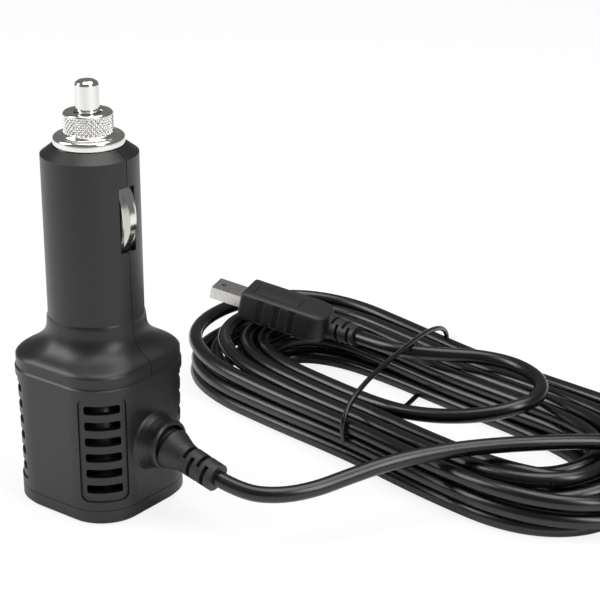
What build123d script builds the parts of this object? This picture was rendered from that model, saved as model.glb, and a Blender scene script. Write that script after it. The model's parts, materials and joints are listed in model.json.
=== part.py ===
from build123d import *
import os
from math import atan, cos, degrees, pi, radians, sin, tan

# Vehicle power adapter: a lighter plug with a ventilated converter head, a long lead wound in a
# tied hank, and a small five-contact plug on the lead's end.  Millimetres.  +Z is up, the origin
# is on the plug's axis at the underside of the head, and the lead leaves towards +X.

# --- driving dimensions -------------------------------------------------------------------------
HEAD_SIDE = 31.4            # head sleeve, side of its rounded square at the top
HEAD_DRAFT = 0.6            # how much narrower the sleeve is at its foot
HEAD_CORNER = 9.9
CAP_TOP = 3.5               # parting line between end cap and sleeve
SLEEVE_TOP = 31.9
RIM_SIDE = 31.0             # band of the shells that shows above the sleeve
RIM_TOP = 34.1
WALL = 1.6
BARREL_R = 10.4             # 20.8 mm across, the standard lighter plug
BARREL_BORE_R = 8.6
BARREL_TOP = 78.5
NOSE_TOP = 80.4
NOSE_R = 7.9
SEAM_GAP = 0.16             # between the two half shells
SLOT_HALF_WIDTH = 2.3       # side contact slot
SLOT_Z = (58.4, 72.7)
FLANGE_R = 7.6              # screw cap
FLANGE_Z = (80.1, 82.4)
COLLAR_R = 5.33
COLLAR_TOP = 87.45
CAP_HOLE_R = 3.0
SKIRT_R = 6.53
SKIRT_FOOT = 73.7
NECK_R = 6.6
CAP_CAVITY_R = 4.6
PIN_R = 2.53
PIN_TOP = 93.9
FUSE_R = 3.15
FUSE_Z = (50.5, 80.5)       # 6.3 x 30 mm glass fuse
SPRING_FOOT = 39.2
BOSS_Z = 16.5               # cord tower on the +X face
BOSS_R = 5.5
BOSS_FACE = 20.5
BOOT_START = (19.2, 0, 16.3)
BOOT_LENGTH = 14.6
BOOT_DROOP = 14             # degrees below level
CORD_R = 1.75
VENT_COUNT = 6
VENT_PITCH = 3.71
VENT_FIRST_Z = 8.5
VENT_SIZE = (7.7, 2.0)
HANK_CENTRE = (38, 70)
HANK_TURN = -9              # degrees about +Z
HANK_SIZE = (146, 60)
HANK_TOP = 10.2
TIE_SIZE = (60, 16.6)       # tie loop, across and high
TIE_THICK = 1.3
TIE_PLACE = -4              # along the hank from its centre
TIE_SKEW = 18.4             # degrees off square across the hank
PLUG_NOSE = (3.5, 79.7, 14.4)  # where the plug's body meets its boot
PLUG_TURN = 199             # degrees about +Z, nose to tip
PLUG_RISE = 12              # degrees the tip points upwards
PLUG_BODY = (22.5, 12.0, 7.5)
PLUG_SHELL = (8.7, 6.8, 3.0)
PLUG_BOOT_LENGTH = 10.2
PLUG_BOOT_TURN = -8         # degrees about +Z, nose to the cord

FOOT = (Align.CENTER, Align.CENTER, Align.MIN)
os.makedirs("parts", exist_ok=True)


def save(name, *solids):
    """Write one node; several solids are a group of separate pieces."""
    flat = [s for shape in solids for s in shape.solids()]
    export_step(flat[0] if len(flat) == 1 else Compound(children=flat), f"parts/{name}.step")


def disc(radius, low, high, x=0, y=0):
    return Pos(x, y, low) * Cylinder(radius, high - low, align=FOOT)


def tube(outer, inner, low, high):
    return disc(outer, low, high) - disc(inner, low - 1, high + 1)


def block(low, high):
    size = [b - a for a, b in zip(low, high)]
    middle = [(a + b) / 2 for a, b in zip(low, high)]
    return Pos(*middle) * Box(*size)


def square_prism(side, corner, low, high, top_side=None):
    """Prism on a rounded square, tapering when top_side is given."""
    foot = Pos(0, 0, low) * RectangleRounded(side, side, corner)
    if top_side is None:
        return extrude(foot, high - low)
    head = Pos(0, 0, high) * RectangleRounded(top_side, top_side, corner)
    return loft([foot, head], ruled=True)


def turned_points(points):
    """Body of revolution about Z from corners in the XZ plane."""
    return revolve(make_face(Plane.XZ * Polyline(*points, close=True)), Axis.Z)


def rod(points, radius, radii):
    """Round rod along straight runs joined by tangent arcs."""
    path = FilletPolyline(*points, radius=radii) if len(points) > 2 else Line(*points)
    section = Plane(origin=points[0], z_dir=path % 0) * Circle(radius)
    return sweep(section, path=path)


# --- housing shells -----------------------------------------------------------------------------
def shoulder_body():
    """Shoulder that flares from the barrel to the rim through rounded squares."""
    sections = [(RIM_TOP, 15.5, 9.9), (34.7, 15.1, 9.9), (35.3, 14.3, 9.9), (36.0, 13.2, 9.9),
                (37.0, 12.1, 10.1), (38.2, 11.3, 10.3), (40.0, 10.7, 10.2), (43.0, 10.33, 10.08)]
    rings = [Pos(0, 0, z) * RectangleRounded(2 * half, 2 * half, corner) for z, half, corner in sections]
    rim = square_prism(RIM_SIDE, HEAD_CORNER, SLEEVE_TOP, RIM_TOP)
    spigot = square_prism(HEAD_SIDE - 2 * WALL - 0.8, HEAD_CORNER - WALL, 28.5, SLEEVE_TOP + 0.2)
    return loft(rings) + rim + spigot


def barrel_body():
    return turned_points([(0, 38.5), (BARREL_R - 0.6, 38.5), (BARREL_R, 42.5), (BARREL_R, BARREL_TOP),
                          (NOSE_R, NOSE_TOP), (0, NOSE_TOP)])


def shell_hollow():
    """Everything taken out of the shells' inside."""
    head_room = turned_points([(0, 28), (18, 28), (18, 32.0), (12.0, 34.0), (9.4, 37.0),
                               (BARREL_BORE_R, 41.5), (0, 41.5)])
    inner_square = square_prism(RIM_SIDE - 2 * WALL - 1.4, HEAD_CORNER - WALL, 27, 42)
    bore = disc(BARREL_BORE_R, 41, SKIRT_FOOT - 0.1)
    neck = disc(NECK_R, SKIRT_FOOT - 1, 90)
    recess = disc(FLANGE_R + 0.06, FLANGE_Z[0] - 0.04, 90)
    return (head_room & inner_square) + bore + neck + recess


def contact_slots():
    reach = BARREL_R + 2
    return block((-reach, -SLOT_HALF_WIDTH, SLOT_Z[0]), (reach, SLOT_HALF_WIDTH, SLOT_Z[1]))


def fuse_rib(low):
    """Ring rib that holds the fuse tube, open on both sides for the ground straps."""
    ring = tube(BARREL_BORE_R + 0.2, 4.62, low, low + 2)
    return ring - block((-12, -2, low - 1), (12, 2, low + 3))


def make_shells():
    whole = shoulder_body() + barrel_body() - shell_hollow() - contact_slots()
    whole = whole + fuse_rib(44) + fuse_rib(53)
    half = SEAM_GAP / 2
    save("front_shell", whole & block((-30, -30, 20), (30, -half, 90)))
    save("rear_shell", whole & block((-30, half, 20), (30, 30, 90)))


# --- head ---------------------------------------------------------------------------------------
def corner_cut(width, height, corner, low_z, depth_from, depth_to, angle):
    """Rounded-rectangle prism that points out of a corner of the head."""
    plane = Plane(origin=(0, 0, 0), x_dir=(-sin(radians(angle)), cos(radians(angle)), 0),
                  z_dir=(cos(radians(angle)), sin(radians(angle)), 0))
    outline = plane * Pos(0, low_z + height / 2, depth_from) * RectangleRounded(width, height, corner)
    return extrude(outline, depth_to - depth_from)


def cord_tower():
    """Round tower with a flared foot, about the X axis at the lead's height."""
    profile = [(13.9, 0), (13.9, 6.6), (15.5, 6.6), (16.1, 6.1), (17.2, 5.7), (18.6, BOSS_R),
               (20.1, BOSS_R), (BOSS_FACE, BOSS_R - 0.4), (BOSS_FACE, 0)]
    face = make_face(Plane.XY * Polyline(*profile, close=True))
    return Pos(0, 0, BOSS_Z) * revolve(face, Axis.X)


def make_sleeve():
    foot_side = HEAD_SIDE - HEAD_DRAFT
    body = square_prism(foot_side, HEAD_CORNER, CAP_TOP, SLEEVE_TOP - 0.5, HEAD_SIDE)
    bevel = square_prism(HEAD_SIDE, HEAD_CORNER, SLEEVE_TOP - 0.5, SLEEVE_TOP, HEAD_SIDE - 0.8)
    body = body + bevel + cord_tower()
    inside = square_prism(foot_side - 2 * WALL, HEAD_CORNER - WALL, CAP_TOP - 1, SLEEVE_TOP + 1)
    body = body - inside
    skin = square_prism(foot_side - 0.7, HEAD_CORNER - 0.35, CAP_TOP, SLEEVE_TOP, HEAD_SIDE - 0.7)
    panel_z, panel_height = 5.5, 24.2
    for corner in range(4):
        angle = 45 + 90 * corner
        panel = corner_cut(10.3, panel_height, 1.6, panel_z, 12, 22, angle)
        body = body - (panel - skin)
        for step in range(VENT_COUNT):
            low = VENT_FIRST_Z + step * VENT_PITCH - VENT_SIZE[1] / 2
            body = body - corner_cut(*VENT_SIZE, 0.55, low, 10, 22, angle)
    socket = Pos(14.4, 0, BOSS_Z) * Rot(0, 90, 0) * Cylinder(4.7, 10, align=FOOT)
    save("head_sleeve", body - socket)


def make_end_cap():
    side = HEAD_SIDE - HEAD_DRAFT
    plate = square_prism(side, HEAD_CORNER, 0, CAP_TOP - 0.12)
    plate = chamfer(plate.faces().sort_by(Axis.Z)[0].edges(), 0.9)
    spigot_side = side - 2 * WALL - 0.3
    spigot = square_prism(spigot_side, HEAD_CORNER - WALL, CAP_TOP - 0.5, 6.5)
    hollow = square_prism(spigot_side - 2.4, HEAD_CORNER - WALL - 1.2, 2.0, 8)
    save("end_cap", plate + spigot - hollow)


def make_boot():
    """Strain relief: a bell, then a slotted tail, built along +X and then drooped."""
    profile = [(-2.4, 0), (-2.4, 4.0), (0.8, 4.1), (1.6, 4.6), (2.4, 4.5), (3.6, 4.0),
               (5.0, 3.45), (6.2, 3.2), (BOOT_LENGTH, 3.1), (BOOT_LENGTH, 0)]
    body = revolve(make_face(Plane.XY * Polyline(*profile, close=True)), Axis.X)
    core = Rot(0, 90, 0) * Cylinder(2.05, 40)
    for step in range(4):
        low = 6.4 + 1.9 * step
        upright = step % 2 == 0
        reach_y, reach_z = (2.6, 9) if upright else (9, 2.6)
        notch = block((low, -reach_y, -reach_z), (low + 0.95, reach_y, reach_z)) - core
        body = body - notch
    save("cable_boot", Pos(*BOOT_START) * Rot(0, BOOT_DROOP, 0) * body)


# --- contacts, fuse and screw cap ---------------------------------------------------------------
def bowed_strip(end_x, half_length, rise, thick, half_width):
    """Leaf bent to an arc that bulges outwards, with its ends at end_x."""
    middle = sum(SLOT_Z) / 2
    radius = (half_length**2 + rise**2) / (2 * rise)
    ring = Pos(end_x + rise - radius, 0, middle) * Rot(90, 0, 0) * (
        Cylinder(radius, 2 * half_width) - Cylinder(radius - thick, 2 * half_width + 1))
    return ring & block((end_x, -9, middle - half_length), (30, 9, middle + half_length))


def side_contact():
    leaf = bowed_strip(9.3, 6.9, 1.45, 0.7, 2.1)
    rib = bowed_strip(9.3, 6.3, 2.45, 1.3, 0.85)
    web = block((7.8, -1.8, 61.5), (9.9, 1.8, 69.5))
    plate = block((7.4, -2.9, 57.0), (7.9, 2.9, 71.5))
    return leaf + rib + web + plate


def make_contacts():
    right = side_contact()
    save("side_contact_right", right)
    save("side_contact_left", Rot(0, 0, 180) * right)
    pin = turned_points([(0, 80.5), (3.65, 80.5), (3.65, 82.0), (PIN_R, 82.0), (PIN_R, PIN_TOP - 0.9),
                         (PIN_R - 0.25, PIN_TOP - 0.35), (PIN_R - 0.8, PIN_TOP), (0, PIN_TOP)])
    save("centre_contact", pin)
    low, high = FUSE_Z
    caps = [disc(FUSE_R, low, low + 6) - disc(FUSE_R - 0.25, low + 0.4, low + 9),
            disc(FUSE_R, high - 6, high) - disc(FUSE_R - 0.25, high - 9, high - 0.4)]
    save("fuse_end_caps", *caps)
    save("fuse_glass", tube(FUSE_R - 0.26, FUSE_R - 1.0, low + 0.41, high - 0.41))
    save("fuse_wire", disc(0.2, low + 0.41, high - 0.41))
    save("fuse_tube", tube(4.6, 3.45, 38.0, 72.0))
    save("spring_seat", disc(3.4, SPRING_FOOT - 0.6, SPRING_FOOT))
    save("contact_spring", tube(3.1, 2.3, SPRING_FOOT, FUSE_Z[0]))
    bush = tube(4.53, 3.75, 74.5, 82.1) + tube(4.53, PIN_R + 0.12, 82.1, 85.55)
    save("cap_bush", bush)
    cap = turned_points([(SKIRT_R, SKIRT_FOOT), (SKIRT_R, FLANGE_Z[0]), (FLANGE_R - 0.35, FLANGE_Z[0]),
                         (FLANGE_R, 80.5), (FLANGE_R, 81.7), (7.1, FLANGE_Z[1]), (6.2, FLANGE_Z[1]),
                         (5.9, 83.0), (COLLAR_R, 83.1), (COLLAR_R, 86.9), (4.8, COLLAR_TOP),
                         (0, COLLAR_TOP), (0, SKIRT_FOOT)])
    cap = cap - disc(CAP_CAVITY_R, SKIRT_FOOT - 1, 85.6) - disc(CAP_HOLE_R, 80, 90)
    save("screw_cap", cap)


# --- electronics in the head --------------------------------------------------------------------
def make_electronics():
    board_y = (-9.6, -8.0)
    save("main_board", block((-10.5, board_y[0], 6.6), (10.5, board_y[1], 28.0)))
    on_board = board_y[1]
    drum = Pos(-5, on_board, 21) * Rot(-90, 0, 0)
    save("power_inductor", drum * Cylinder(4.6, 5.5, align=FOOT) - drum * Pos(0, 0, 4.6)
         * Cylinder(2.2, 2, align=FOOT))
    cans = [Pos(6, on_board, z) * Rot(-90, 0, 0) * Cylinder(3.1, 8.5, align=FOOT) for z in (11.2, 23.5)]
    save("capacitors", *cans)
    save("controller_chip", block((-8, on_board, 9.5), (-3, on_board + 1.5, 13.5)))
    save("rectifier_diode", block((-1.5, on_board, 8.5), (1.5, on_board + 2.2, 13.0)))
    straps = [block((side * 6.2 - 0.2, -1.5, 33), (side * 6.2 + 0.2, 1.5, 56)) for side in (-1, 1)]
    save("ground_straps", *straps)
    supply = rod([(0, -8.8, 28.0), (0, -8.8, 31.0), (0, -3.2, 35.2), (0, -1.2, 38.6)], 0.6, [1.6, 2.2])
    save("supply_wire", supply - disc(5, 38.0, 42))
    wires = [rod([(13.2, s, BOSS_Z), (11.4, s, BOSS_Z), (11.2, -5.0 + s, BOSS_Z - s), (9.6, on_board,
             BOSS_Z - s)], 0.55, [1.2, 1.2]) for s in (-0.7, 0.7)]
    save("output_wires", *[w - block((0, -12, 0), (20, on_board, 40)) for w in wires])
    clamp = block((11.9, -4.5, 11.5), (13.7, 4.5, 21.0)) - block((10, -1.9, 14.6), (15, 1.9, 18.4))
    save("cord_clamp", clamp)


# --- lead, hank and plug ------------------------------------------------------------------------
def boot_end():
    reach = BOOT_LENGTH
    turn = radians(BOOT_DROOP)
    return (BOOT_START[0] + reach * cos(turn), 0, BOOT_START[2] - reach * sin(turn))


LEAD_ROUTE = [boot_end(), (40.0, 0.3, 11.3), (46.5, 4.0, 11.0), (51.0, 10.5, 11.2),
              (54.4, 18.5, 12.2), (58.5, 27.5, 13.2), (64.5, 36.5, 13.9), (72.0, 45.5, 14.2),
              (80.5, 54.5, 14.0), (88.5, 63.5, 13.2), (95.0, 72.0, 11.2), (98.0, 80.5, 7.5)]


def route_radii(points):
    """Arc radius at each inner point: 0.45 of its shorter run over the tangent of half its turn."""
    radii = []
    for before, here, after in zip(points, points[1:], points[2:]):
        arriving, leaving = Vector(here) - Vector(before), Vector(after) - Vector(here)
        half_turn = radians(arriving.get_angle(leaving)) / 2
        radii.append(0.45 * min(arriving.length, leaving.length) / tan(half_turn))
    return radii


def in_plug_frame(shape):
    turn, rise = radians(PLUG_TURN), radians(PLUG_RISE)
    along = Vector(cos(turn) * cos(rise), sin(turn) * cos(rise), sin(rise))
    up = along.cross(Vector(-sin(turn), cos(turn), 0))
    return Plane(origin=PLUG_NOSE, x_dir=along, z_dir=up) * shape


def in_boot_frame(shape):
    return Pos(*PLUG_NOSE) * Rot(0, 0, PLUG_BOOT_TURN) * shape


def make_lead():
    radii = route_radii(LEAD_ROUTE)
    print("lead arc radii", [round(r, 1) for r in radii])
    lead = rod(LEAD_ROUTE, CORD_R, radii)
    length = FilletPolyline(*LEAD_ROUTE, radius=radii).length
    print("lead tube", round(lead.volume, 1), "section x length", round(pi * CORD_R**2 * length, 1))
    save("lead_cord", lead)
    place = Pos(*HANK_CENTRE, 0) * Rot(0, 0, HANK_TURN)
    across, high = TIE_SIZE
    outline = RectangleRounded(across, high, 5)
    inner = RectangleRounded(across - 2 * TIE_THICK, high - 2 * TIE_THICK, 4)
    ring = extrude(Plane.YZ * (outline - inner), TIE_THICK / 2, both=True)
    tie_place = place * Pos(TIE_PLACE, 0, 0) * Rot(0, 0, TIE_SKEW)
    tie = tie_place * Pos(0, 0, high / 2) * ring
    hank_width = across - 2 * TIE_THICK - 3
    hank = extrude(SlotOverall(HANK_SIZE[0], HANK_SIZE[1]), HANK_TOP)
    waist = block((-5, -hank_width / 2, -1), (5, hank_width / 2, 20))
    band = block((-5, -60, -1), (5, 60, 20))
    groove = block((-1.2, -60, -1), (1.2, 60, TIE_THICK + 0.1))
    hank = place * hank - tie_place * (band - waist) - tie_place * groove
    save("cord_hank", hank)
    save("hank_tie", tie)
    tail_start = in_boot_frame(Pos(PLUG_BOOT_LENGTH, 0, 0)).position
    save("tail_cord", rod([tuple(tail_start), (26.0, 77.8, 9.0)], CORD_R, []))


def make_plug():
    length, width, height = PLUG_BODY
    body = Pos(length / 2, 0, 0) * Box(length, width, height)
    body = fillet(body.edges().filter_by(Axis.Z).sort_by(Axis.X)[:2], 4.6)
    body = fillet(body.edges().filter_by(Axis.Z).sort_by(Axis.X)[-2:], 0.8)
    for side in (-1, 1):
        for step in range(3):
            start = 7.5 + 4.2 * step
            body = body - block((start, side * width / 2 - 0.45, -9), (start + 2.2, side * width / 2 + 0.45, 9))
    shell_length, shell_width, shell_height = PLUG_SHELL
    cavity = block((length - 2, -shell_width / 2, -shell_height / 2), (length + 1, shell_width / 2,
                   shell_height / 2))
    save("plug_body", in_plug_frame(body - cavity))
    low = (length - 2, -shell_width / 2, -shell_height / 2)
    high = (length + shell_length, shell_width / 2, shell_height / 2)
    wall = 0.35
    shell = block(low, high) - block((low[0] - 1, low[1] + wall, low[2] + wall),
                                     (high[0] + 1, high[1] - wall, high[2] - wall))
    window = Pos(length + shell_length - 2.2, 0, shell_height / 2) * Box(1.1, 1.1, 1.2)
    save("plug_shell", in_plug_frame(shell - window))
    tongue = block((length - 2, -2.3, -0.5), (length + shell_length - 0.8, 2.3, 0.35))
    contacts = [block((length - 1, -1.8 + 0.8 * n, 0.35), (length + shell_length - 1.6, -1.4 + 0.8 * n, 0.5))
                for n in range(5)]
    save("plug_tongue", in_plug_frame(tongue))
    save("plug_contacts", *[in_plug_frame(c) for c in contacts])
    profile = [(0.3, 0), (0.3, 3.3), (1.6, 3.1), (PLUG_BOOT_LENGTH, 2.6), (PLUG_BOOT_LENGTH, 0)]
    boot = revolve(make_face(Plane.XY * Polyline(*profile, close=True)), Axis.X)
    core = Rot(0, 90, 0) * Cylinder(1.9, 60)
    for step in range(4):
        start = 2.7 + 1.8 * step
        reach_y, reach_z = (2.2, 9) if step % 2 == 0 else (9, 2.2)
        boot = boot - (block((start, -reach_y, -reach_z), (start + 0.9, reach_y, reach_z)) - core)
    save("plug_boot", in_boot_frame(boot))


make_shells()
make_sleeve()
make_end_cap()
make_boot()
make_contacts()
make_electronics()
make_lead()
make_plug()
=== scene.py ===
# %% [markdown]
# # A vehicle power adapter
# The adapter is a lighter plug on a square, ventilated head, with a long lead tied in a hank.
# The structural model is loaded first and never moved; this lesson gives it its finishes and
# makes the pieces that plain solids can't show: the lead, the knurled cap, the spring, the plug.

# %% Load the frame
import json
import math

import bmesh
import bpy
import numpy as np
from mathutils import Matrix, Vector


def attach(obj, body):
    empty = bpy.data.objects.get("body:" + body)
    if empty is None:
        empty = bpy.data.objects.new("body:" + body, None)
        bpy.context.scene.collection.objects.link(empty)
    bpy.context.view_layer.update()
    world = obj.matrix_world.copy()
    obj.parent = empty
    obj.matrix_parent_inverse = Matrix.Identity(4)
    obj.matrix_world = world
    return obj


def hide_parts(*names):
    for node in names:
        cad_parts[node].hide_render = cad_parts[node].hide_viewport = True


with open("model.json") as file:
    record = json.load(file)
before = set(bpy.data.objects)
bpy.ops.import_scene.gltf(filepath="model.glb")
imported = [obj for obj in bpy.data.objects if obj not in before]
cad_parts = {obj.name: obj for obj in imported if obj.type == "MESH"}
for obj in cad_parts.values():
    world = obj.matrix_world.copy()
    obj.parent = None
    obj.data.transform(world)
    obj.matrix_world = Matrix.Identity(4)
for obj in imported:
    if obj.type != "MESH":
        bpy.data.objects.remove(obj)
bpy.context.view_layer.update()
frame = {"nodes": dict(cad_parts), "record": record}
nodes = frame["nodes"]
MM = 0.001
random = np.random.default_rng(7)


# %% [markdown]
# ## Helpers for colour, nodes and grids
# Colours are written as sRGB hex and turned to linear once. One function adds a shader node with
# its settings and links. New surfaces are grids of points worked out as whole arrays.

# %% Colour, node and mesh helpers
def linear(hex_colour):
    """sRGB hex to linear RGBA: c/12.92 below 0.04045, else ((c + 0.055)/1.055) to the 2.4."""
    c = np.array([int(hex_colour[i:i + 2], 16) for i in (1, 3, 5)]) / 255
    low = c / 12.92
    high = ((c + 0.055) / 1.055) ** 2.4
    return (*np.where(c <= 0.04045, low, high).tolist(), 1.0)


def add(tree, kind, settings=None, links=None):
    """Adds one node: settings are attributes or input values, links feed its inputs."""
    node = tree.nodes.new(kind)
    for key, value in (settings or {}).items():
        if isinstance(key, str) and hasattr(node, key):
            setattr(node, key, value)
        else:
            node.inputs[key].default_value = value
    for key, socket in (links or {}).items():
        tree.links.new(socket, node.inputs[key])
    return node


def new_material(name, **shader):
    """A material with its Principled shader set; returns (material, tree, shader node)."""
    material = bpy.data.materials.new(name)
    material.use_nodes = True
    tree = material.node_tree
    principled = tree.nodes["Principled BSDF"]
    for key, value in shader.items():
        principled.inputs[key.replace("_", " ")].default_value = value
    return material, tree, principled


def grid_mesh(name, points, wrap_rows, wrap_columns):
    """Mesh from an (rows, columns, 3) array in metres; wrapped edges are joined to their start."""
    rows, columns = points.shape[:2]
    r = np.arange(rows if wrap_rows else rows - 1)
    c = np.arange(columns if wrap_columns else columns - 1)
    r, c = np.meshgrid(r, c, indexing="ij")
    r_next, c_next = (r + 1) % rows, (c + 1) % columns
    quads = np.stack([r * columns + c, r * columns + c_next, r_next * columns + c_next,
                      r_next * columns + c], -1).reshape(-1, 4)
    mesh = bpy.data.meshes.new(name)
    mesh.from_pydata(points.reshape(-1, 3).tolist(), [], quads.tolist())
    mesh.polygons.foreach_set("use_smooth", np.ones(len(quads), bool))
    mesh.update()
    piece = bpy.data.objects.new(name, mesh)
    bpy.context.scene.collection.objects.link(piece)
    return piece


def outward(piece):
    """Recalculates a closed mesh's normals to point outwards."""
    work = bmesh.new()
    work.from_mesh(piece.data)
    bmesh.ops.recalc_face_normals(work, faces=work.faces)
    work.to_mesh(piece.data)
    work.free()


# %% [markdown]
# ## Moulded ABS
# The shells, sleeve and end cap are injection-moulded black ABS with a fine spark-eroded grain,
# about 0.25 mm, so they are satin: a broad soft highlight that the grain breaks up.

# %% Plastics
def grain_bump(tree, principled, size_mm, strength, roughness, spread):
    """Noise of the given grain size drives a slight bump and a slight change of roughness."""
    place = add(tree, "ShaderNodeTexCoord")
    noise = add(tree, "ShaderNodeTexNoise", {"Scale": 1 / (size_mm * MM), "Detail": 3.0},
                {"Vector": place.outputs["Object"]})
    cloud = add(tree, "ShaderNodeTexNoise", {"Scale": 1 / (9 * MM), "Detail": 2.0},
                {"Vector": place.outputs["Object"]})
    rough = add(tree, "ShaderNodeMapRange", {"To Min": roughness - spread, "To Max": roughness + spread},
                {"Value": cloud.outputs["Fac"]})
    bump = add(tree, "ShaderNodeBump", {"Strength": strength, "Distance": 0.05 * MM},
               {"Height": noise.outputs["Fac"]})
    tree.links.new(rough.outputs["Result"], principled.inputs["Roughness"])
    tree.links.new(bump.outputs["Normal"], principled.inputs["Normal"])
    return noise


def tint(tree, principled, noise, dark, light):
    """Colour wanders between two close hex values with the noise."""
    mix = add(tree, "ShaderNodeMix", {"data_type": "RGBA"}, {"Factor": noise.outputs["Fac"]})
    mix.inputs["A"].default_value = linear(dark)
    mix.inputs["B"].default_value = linear(light)
    tree.links.new(mix.outputs["Result"], principled.inputs["Base Color"])


def plastic(name, dark, light, grain_mm, strength, roughness):
    """Moulded or extruded plastic: grained, and wandering a little in colour and roughness."""
    spread = 0.03
    material, tree, principled = new_material(name, IOR=1.5)
    noise = grain_bump(tree, principled, grain_mm, strength, roughness, spread)
    tint(tree, principled, noise, dark, light)
    return material


moulded_abs = plastic("moulded_black_abs", "#0c0c0d", "#111112", 0.28, 0.35, 0.40)
cord_pvc = plastic("extruded_black_pvc", "#08080a", "#0c0c0d", 1.2, 0.10, 0.27)
soft_tpe = plastic("soft_black_tpe", "#131315", "#19191b", 0.5, 0.30, 0.50)
insulator = plastic("dark_nylon", "#161617", "#202022", 0.6, 0.2, 0.45)
component = plastic("black_epoxy", "#18181a", "#222225", 0.3, 0.3, 0.55)
laminate = plastic("black_masked_glass_epoxy", "#08090a", "#0c0e0f", 0.8, 0.2, 0.35)
sleeve_red = plastic("dark_red_pvc_sleeve", "#2a0a08", "#330d0a", 1.0, 0.1, 0.35)


# %% [markdown]
# ## Plated and bare metals
# The screw cap, centre contact and side contacts are bright nickel: nearly a mirror, with faint
# turning marks. The small plug's shell is drawn steel, a little softer.

# %% Metals and glass
def metal(name, colour, roughness, mark_mm, strength):
    """Metal with fine marks: noise stretched round the Z axis bumps and roughens it."""
    material, tree, principled = new_material(name, Metallic=1.0)
    principled.inputs["Base Color"].default_value = linear(colour)
    place = add(tree, "ShaderNodeTexCoord")
    stretch = add(tree, "ShaderNodeMapping", {"Scale": (0.15, 0.15, 1.0)},
                  {"Vector": place.outputs["Object"]})
    noise = add(tree, "ShaderNodeTexNoise", {"Scale": 1 / (mark_mm * MM), "Detail": 4.0},
                {"Vector": stretch.outputs["Vector"]})
    rough = add(tree, "ShaderNodeMapRange", {"To Min": roughness * 0.7, "To Max": roughness * 1.5},
                {"Value": noise.outputs["Fac"]})
    bump = add(tree, "ShaderNodeBump", {"Strength": strength, "Distance": 0.02 * MM},
               {"Height": noise.outputs["Fac"]})
    tree.links.new(rough.outputs["Result"], principled.inputs["Roughness"])
    tree.links.new(bump.outputs["Normal"], principled.inputs["Normal"])
    return material


bright_nickel = metal("bright_nickel_plate", "#d9d8d4", 0.13, 0.20, 0.25)
drawn_steel = metal("drawn_plated_steel", "#cfcdc8", 0.24, 0.15, 0.25)
tinned_wire = metal("tinned_fuse_wire", "#b9b7b2", 0.30, 0.10, 0.10)
brass_strip = metal("bright_brass_strip", "#c9a45a", 0.25, 0.20, 0.20)
can_aluminium = plastic("black_can_sleeve", "#0a0a0c", "#101012", 0.8, 0.1, 0.35)
clear_glass, _, _ = new_material("clear_fuse_glass", Roughness=0.03, IOR=1.5, Transmission_Weight=1.0)

finishes = {"moulded_abs": moulded_abs, "cord_pvc": cord_pvc, "soft_tpe": soft_tpe,
            "bright_nickel": bright_nickel, "plated_steel": drawn_steel, "glass": clear_glass,
            "fuse_element": tinned_wire, "board_laminate": laminate, "component_black": component,
            "can_aluminium": can_aluminium, "brass_strip": brass_strip, "wire_sleeve": sleeve_red,
            "insulator": insulator}
slot_of = {part["node"]: part["material_slot"] for part in frame["record"]["subparts"]}
for name, node in nodes.items():
    node.data.materials.clear()
    node.data.materials.append(finishes[slot_of[name]])
print("finished CAD nodes", len(slot_of))


# %% [markdown]
# ## Floor, light and camera
# A pale floor and large soft lamps, as in a plain product studio. The camera stands 37 degrees
# round and 21 degrees up, with a long lens.

# %% Studio
def area_lamp(name, place, target, size, power):
    """Rectangular soft lamp at a place, aimed at a target, in metres and watts."""
    lamp = bpy.data.lights.new(name, "AREA")
    lamp.energy = power
    lamp.shape = "RECTANGLE"
    lamp.size, lamp.size_y = size
    holder = bpy.data.objects.new(name, lamp)
    bpy.context.scene.collection.objects.link(holder)
    holder.location = place
    holder.rotation_euler = (Vector(target) - Vector(place)).to_track_quat("-Z", "Y").to_euler()


scene = bpy.context.scene
scene.view_settings.view_transform = "Standard"
world = bpy.data.worlds.new("studio")
scene.world = world
world.use_nodes = True
tree = world.node_tree
ray = add(tree, "ShaderNodeLightPath")
seen = add(tree, "ShaderNodeMath", {"operation": "MAXIMUM"},
           {0: ray.outputs["Is Camera Ray"], 1: ray.outputs["Is Transmission Ray"]})
level = add(tree, "ShaderNodeMapRange", {"To Min": 0.20, "To Max": 1.0}, {"Value": seen.outputs[0]})
tree.links.new(level.outputs["Result"], tree.nodes["Background"].inputs["Strength"])
tree.nodes["Background"].inputs["Color"].default_value = (1, 1, 1, 1)

FLOOR_HALF = 3.0
floor = grid_mesh("floor", np.array([[[-1, -1, 0], [1, -1, 0]], [[-1, 1, 0], [1, 1, 0]]], float)
                  * FLOOR_HALF, False, False)
floor_paint, tree, principled = new_material("pale_floor", Roughness=0.9, Specular_IOR_Level=0.1)
principled.inputs["Base Color"].default_value = linear("#f4f4f4")
tree.links.new(
    add(tree, "ShaderNodeMixShader", {}, {
        0: add(tree, "ShaderNodeMath", {"operation": "MULTIPLY", 1: 0.85},
               {0: add(tree, "ShaderNodeLightPath").outputs["Is Camera Ray"]}).outputs[0],
        1: principled.outputs[0],
        2: add(tree, "ShaderNodeEmission", {"Strength": 1.0}).outputs[0]}).outputs[0],
    tree.nodes["Material Output"].inputs["Surface"])
floor.data.materials.append(floor_paint)
area_lamp("left_soft_box", (-0.55, -0.45, 0.55), (0.02, 0.02, 0.04), (0.30, 0.7), 5.0)
area_lamp("right_soft_box", (0.75, -0.05, 0.55), (0.03, 0.03, 0.03), (0.25, 0.7), 4.5)
area_lamp("top_soft_box", (0.05, 0.15, 0.9), (0.03, 0.05, 0.0), (0.7, 0.7), 6.0)

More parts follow.
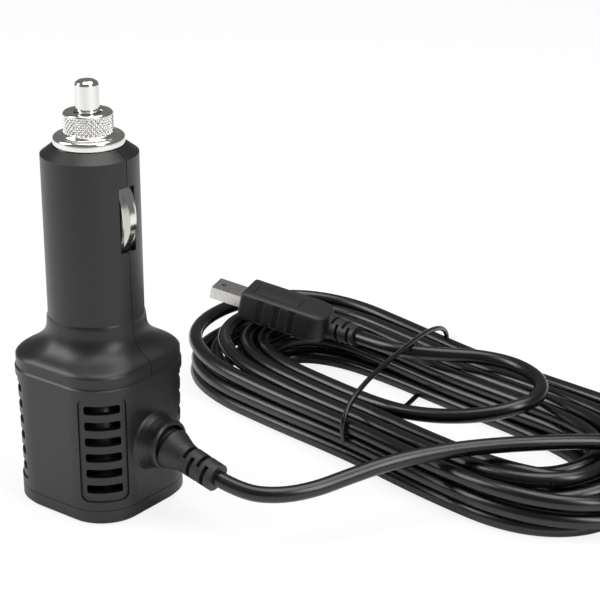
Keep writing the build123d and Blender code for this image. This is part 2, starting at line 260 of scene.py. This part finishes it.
AZIMUTH, ELEVATION = math.radians(37.41), math.radians(21.398)
CAMERA_PLACE = (0.258604, -0.265783, 0.189566)
LENS_MM = 110.23
SENSOR_MM = 36
lens = bpy.data.cameras.new("camera")
lens.lens = LENS_MM
lens.sensor_width = SENSOR_MM
lens.clip_start = 0.01
camera = bpy.data.objects.new("camera", lens)
scene.collection.objects.link(camera)
camera.location = CAMERA_PLACE
camera.rotation_euler = (math.pi / 2 - ELEVATION, 0, AZIMUTH)
scene.camera = camera


# %% [markdown]
# ## The lead
# The lead leaves the boot, bows across to the hank, lies over it and joins its outermost turn.
# Twelve turns in four columns and three layers follow, tied at the waist and loose at the ends,
# then one small loop on top brings the cord back to the plug. It is one smooth NURBS curve.

# %% Lead route
CORD_RADIUS_MM = 1.75
CORD_RADIUS = CORD_RADIUS_MM * MM
LEAD_ROUTE = np.array([
    (33.366, 0, 12.768), (40.0, 0.3, 11.3), (46.5, 4.0, 11.0), (51.0, 10.5, 11.2),
    (54.4, 18.5, 12.2), (58.5, 27.5, 13.2), (64.5, 36.5, 13.9), (72.0, 45.5, 14.2),
    (80.5, 54.5, 14.0), (88.5, 63.5, 13.2), (95.5, 71.5, 11.6)])
TAIL_ROUTE = np.array([
    (48.5, 59.0, 9.6), (58.0, 62.5, 11.0), (65.0, 67.5, 12.8), (67.5, 75.0, 13.6),
    (64.0, 82.5, 14.2), (55.5, 87.0, 14.4), (45.5, 86.5, 14.4), (36.5, 81.5, 14.4),
    (29.0, 78.0, 14.4), (21.5, 77.2, 14.4), (13.6, 78.28, 14.4)])
HANK_CENTRE = np.array([38.0, 70.0])
HANK_TURN = math.radians(-9)
TURN_ORDER = [(3, 2), (3, 1), (3, 0), (2, 0), (2, 1), (2, 2), (1, 2), (1, 1), (1, 0), (0, 0),
              (0, 1), (0, 2)]
POINTS_PER_TURN = 16
START_ANGLE = math.radians(24)
INNER_REACH, INNER_WIDTH = 51.0, 12.5       # half length and half width of the inner column
COLUMN_REACH, COLUMN_WIDTH = 5.7, 4.3       # what each column further out adds to them
LAYER_RISE = 3.55


def on_hank(along, across, up):
    """Places lines given along, across and above the hank, by its centre and its turn."""
    c, s = math.cos(HANK_TURN), math.sin(HANK_TURN)
    return np.stack([HANK_CENTRE[0] + c * along - s * across,
                     HANK_CENTRE[1] + s * along + c * across, up], 1)


def hank_points():
    """Turn k is a long loop: x = a cos t, y = b sin t (1 + 0.9 cos^2 t). Column sets a and b,
    layer sets the height, and both slide to the next turn's over its last fifth. Away from the
    tie the turns wander: each gets its own reach, width and lift."""
    turns = len(TURN_ORDER)
    steps = np.arange(turns * POINTS_PER_TURN - 4)
    along = steps / POINTS_PER_TURN
    k = np.floor(along).astype(int)
    fade = np.clip((along - k - 0.8) / 0.2, 0, 1)
    fade = fade * fade * (3 - 2 * fade)
    order = np.array(TURN_ORDER + [TURN_ORDER[-1]], float)
    wander = random.uniform(-1, 1, (turns + 1, 4))
    column = order[k, 0] * (1 - fade) + order[k + 1, 0] * fade
    layer = order[k, 1] * (1 - fade) + order[k + 1, 1] * fade
    own = wander[k] * (1 - fade)[:, None] + wander[k + 1] * fade[:, None]
    t = START_ANGLE + 2 * math.pi * along
    loose = np.cos(t) ** 2
    left = np.clip(-np.cos(t), 0, 1) ** 2
    a = INNER_REACH + COLUMN_REACH * column + 2.0 * own[:, 0] * loose
    b = INNER_WIDTH + COLUMN_WIDTH * column + 1.6 * own[:, 1] * loose
    x = a * np.cos(t)
    y = b * np.sin(t) * (1 + 0.9 * loose)
    lift = loose * 0.5 * (1 + own[:, 2]) + left * 0.8
    z = CORD_RADIUS_MM + (LAYER_RISE + lift) * layer
    return on_hank(x, y, z)


def nurbs_cord(name, points_mm, radius):
    """Round cord along one NURBS curve through the given control points."""
    curve = bpy.data.curves.new(name, "CURVE")
    curve.dimensions = "3D"
    spline = curve.splines.new("NURBS")
    spline.points.add(len(points_mm) - 1)
    rows = np.concatenate([points_mm * MM, np.ones((len(points_mm), 1))], 1)
    spline.points.foreach_set("co", rows.ravel())
    spline.order_u = 3
    spline.use_endpoint_u = True
    spline.resolution_u = 8
    curve.bevel_depth = radius
    curve.bevel_resolution = 4
    curve.use_fill_caps = True
    piece = bpy.data.objects.new(name, curve)
    scene.collection.objects.link(piece)
    return piece


cord_line = np.concatenate([LEAD_ROUTE, hank_points(), TAIL_ROUTE])
lead = nurbs_cord("lead", cord_line, CORD_RADIUS)
lead.data.materials.append(cord_pvc)
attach(lead, "adapter")
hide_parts("lead_cord", "cord_hank", "tail_cord")
print("cord control points", len(cord_line))


# %% [markdown]
# ## The tie
# One thin round tie goes once round the waist of the hank and over the cord to the plug.

# %% Tie
TIE_HALF_WIDTH, TIE_HALF_HEIGHT, TIE_MIDDLE = 28.0, 8.05, 8.7
TIE_PLACE, TIE_SKEW = -7.5, 0.333
TIE_RADIUS = 0.62


def tie_points():
    """Flattened ring: a superellipse across the hank, a little skewed, its foot on the floor."""
    t = np.linspace(0, 2 * math.pi, 40, endpoint=False)
    across = TIE_HALF_WIDTH * np.sign(np.cos(t)) * np.abs(np.cos(t)) ** 0.7
    up = TIE_MIDDLE + TIE_HALF_HEIGHT * np.sign(np.sin(t)) * np.abs(np.sin(t)) ** 0.8
    return on_hank(TIE_PLACE - TIE_SKEW * across, across, up)


def ring_tube(name, centres_mm, radius_mm, sides=12):
    """Tube round a closed line: each section is a circle square to the line there."""
    ahead = np.roll(centres_mm, -1, 0) - np.roll(centres_mm, 1, 0)
    ahead /= np.linalg.norm(ahead, axis=1)[:, None]
    side = np.cross(ahead, [math.cos(HANK_TURN), math.sin(HANK_TURN), 0])
    side /= np.linalg.norm(side, axis=1)[:, None]
    other = np.cross(ahead, side)
    turn = np.linspace(0, 2 * math.pi, sides, endpoint=False)[None, :, None]
    rim = np.cos(turn) * side[:, None] + np.sin(turn) * other[:, None]
    piece = grid_mesh(name, (centres_mm[:, None] + radius_mm * rim) * MM, True, True)
    outward(piece)
    return piece


tie = ring_tube("tie", tie_points(), TIE_RADIUS)
tie.data.materials.append(cord_pvc)
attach(tie, "adapter")
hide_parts("hank_tie")


# %% [markdown]
# ## The knurled screw cap
# A turned cap is a profile carried round an axis. Crossed waves on the collar make its diamond
# knurl; the flange below it is plain.

# %% Screw cap
COLLAR_R = 5.33
KNURL_TEETH, KNURL_DEPTH = 34, 0.38
KNURL_Z = (83.2, 86.8)


def screw_cap_surface():
    """Radius r(profile, angle): the closed profile turned about Z, less crossed cosine waves on
    the collar."""
    collar_z = np.linspace(83.15, 86.85, 44)
    profile = [(6.53, 73.7), (6.53, 80.1), (7.25, 80.1), (7.5, 80.2), (7.6, 80.45), (7.6, 81.75),
               (7.5, 82.1), (7.2, 82.35), (6.5, 82.4), (6.1, 82.45), (5.9, 82.7), (5.75, 83.0)]
    profile += [(COLLAR_R, z) for z in collar_z]
    profile += [(5.2, 87.1), (4.95, 87.35), (4.6, 87.45), (3.2, 87.45), (3.0, 87.3), (3.0, 85.6),
                (4.6, 85.6), (4.6, 73.7)]
    profile = np.array(profile)
    angle = np.linspace(0, 2 * math.pi, 480, endpoint=False)
    r, z = profile[:, :1], profile[:, 1:]
    around = KNURL_TEETH * angle
    lean = KNURL_TEETH / COLLAR_R * z
    cross = (0.5 + 0.5 * np.cos(around + lean)) * (0.5 + 0.5 * np.cos(around - lean))
    on_collar = ((r == COLLAR_R) & (z > KNURL_Z[0]) & (z < KNURL_Z[1])).astype(float)
    radius = r - on_collar * KNURL_DEPTH * (1 - cross)
    return np.stack([radius * np.cos(angle), radius * np.sin(angle), z + 0 * radius], -1) * MM


cap = grid_mesh("knurled_cap", screw_cap_surface(), True, True)
outward(cap)
cap.data.materials.append(bright_nickel)
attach(cap, "screw_cap")
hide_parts("screw_cap")
print("cap faces", len(cap.data.polygons))


# %% [markdown]
# ## The dark wall behind the vents
# Behind the vents stands a thin dark wall, painted shade that makes the slots look black. It is
# a rounded-square wall carried straight up.

# %% Painted shade wall behind the vents
def shade_wall_surface():
    """Rounded square |x|^8 + |y|^8 = side^8 at two radii, swept up and closed over both rims."""
    t = np.linspace(0, 2 * math.pi, 96, endpoint=False)
    reach = (np.abs(np.cos(t)) ** 8 + np.abs(np.sin(t)) ** 8) ** (-1 / 8)
    walls = np.array([(11.55, 6.8), (11.55, 30.0), (11.0, 30.0), (11.0, 6.8)])
    r = walls[:, :1] * reach
    return np.stack([r * np.cos(t), r * np.sin(t), walls[:, 1:] + 0 * r], -1) * MM


# A dark wall standing in for the shade inside the vent slots: painted shade, not a real part.
shade_wall = grid_mesh("vent_shade_wall", shade_wall_surface(), True, True)
outward(shade_wall)
shade_wall.data.materials.append(insulator)
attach(shade_wall, "adapter")


# %% [markdown]
# ## The contact spring
# A compression spring is one wire wound in a helix; it sits under the fuse.

# %% Spring
def helix(radius, low, high, turns):
    """x, y on a circle while z climbs evenly from low to high."""
    t = np.linspace(0, 2 * math.pi * turns, int(turns * 14))
    return np.stack([radius * np.cos(t), radius * np.sin(t), np.linspace(low, high, len(t))], 1)


spring = nurbs_cord("coil_spring", helix(2.7, 39.5, 50.2, 6.5), 0.28 * MM)
spring.data.resolution_u = 3
spring.data.materials.append(drawn_steel)
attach(spring, "adapter")
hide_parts("contact_spring")


# %% [markdown]
# ## The plug's moulded body
# The over-moulded body is a rounded bar, round at the cord end, with three grip notches on each side and
# a sunk frame on top, all pressed in the same soft TPE.

# %% Plug body
PLUG_NOSE = np.array([3.5, 79.7, 14.4])
PLUG_LENGTH, PLUG_HALF_WIDTH, PLUG_HALF_HEIGHT = 22.5, 6.0, 3.75
SQUARENESS = 0.26
NOTCH_START, NOTCH_PITCH, NOTCH_LENGTH, NOTCH_DEPTH = 7.5, 4.2, 2.1, 0.55
FRAME_DEPTH = 0.3


def plug_body_surface():
    """Section at x: superellipse of power 2 / 0.26, its half-width rounding off at the cord end and
    dipping at each notch; the top sinks 0.3 mm along the frame line."""
    end = PLUG_LENGTH
    x = np.concatenate([[0.0, 0.02], np.linspace(0.1, 4.6, 18), np.linspace(4.9, end - 0.5, 130),
                        [end - 0.3, end - 0.12, end, end]])
    ends = np.clip(1 - np.abs(np.clip((4.6 - x) / 4.6, 0, 1)) ** 2, 0, 1) ** 0.5
    square = 1 - 0.06 * np.clip((x - end + 0.5) / 0.5, 0, 1) ** 2
    half = PLUG_HALF_WIDTH * (0.4 + 0.6 * ends) * square
    tall = PLUG_HALF_HEIGHT * (0.85 + 0.15 * ends) * square
    half[[0, -1]] = 0.02
    tall[[0, -1]] = 0.02
    notch = np.zeros_like(x)
    for step in range(3):
        start = NOTCH_START + NOTCH_PITCH * step
        inside = np.minimum(x - start, start + NOTCH_LENGTH - x)
        notch = np.maximum(notch, np.clip(inside / 0.25, 0, 1))
    v = np.linspace(0, 2 * math.pi, 120, endpoint=False)
    cy, cz = np.cos(v), np.sin(v)
    y = np.sign(cy) * np.abs(cy) ** SQUARENESS
    z = np.sign(cz) * np.abs(cz) ** SQUARENESS
    cut = notch[:, None] * NOTCH_DEPTH * (np.abs(y) > 0.97)
    across = half[:, None] * y - np.sign(y) * cut
    up = tall[:, None] * z
    near = np.abs(np.maximum(np.abs(x[:, None] - 14.0) - 6.0, np.abs(across) - 3.2))
    sunk = np.clip(1 - near / 0.35, 0, 1) * (up > 0.9 * PLUG_HALF_HEIGHT)
    up = up - FRAME_DEPTH * sunk
    return np.stack([np.broadcast_to(x[:, None], up.shape), across, up], -1)


def in_plug_frame(points_mm):
    """Turned 199 degrees about Z with the tip raised 12, the nose at its place on the hank."""
    turn, rise = math.radians(199), math.radians(12)
    along = np.array([math.cos(turn) * math.cos(rise), math.sin(turn) * math.cos(rise), math.sin(rise)])
    across = np.array([-math.sin(turn), math.cos(turn), 0])
    up = np.cross(along, across)
    return PLUG_NOSE + points_mm @ np.stack([along, across, up])


plug = grid_mesh("plug_moulding", in_plug_frame(plug_body_surface()) * MM, False, True)
outward(plug)
plug.data.materials.append(soft_tpe)
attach(plug, "adapter")
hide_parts("plug_body")
